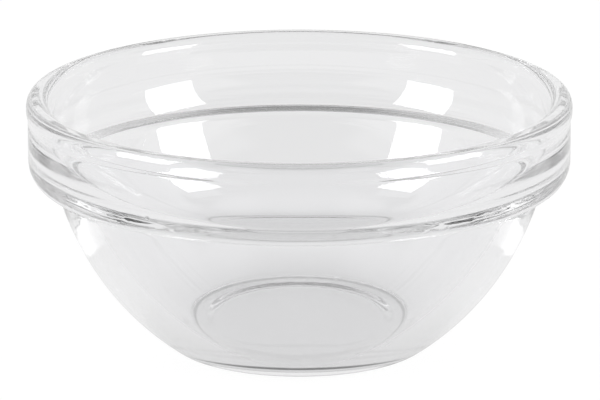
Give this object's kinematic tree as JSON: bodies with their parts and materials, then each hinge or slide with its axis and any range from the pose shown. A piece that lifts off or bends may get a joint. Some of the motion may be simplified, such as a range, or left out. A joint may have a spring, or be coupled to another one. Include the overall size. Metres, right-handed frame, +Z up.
{
  "type": "prep bowl",
  "caption": "Small stackable round bowl of clear pressed glass, with a stepped collar, a rolled rim and a hollow foot, for ingredients.",
  "frame": {"origin": "centre of the foot ring, on the surface that the bowl stands on", "axes": "+Z up along the bowl's axis, +X and +Y in the plane of the table"},
  "size_m": [0.0904, 0.0904, 0.0425],
  "materials": {
    "glass": "clear, fire-polished pressed glass"
  },
  "bodies": {
    "root": {"bowl": "glass"}
  },
  "joints": []
}
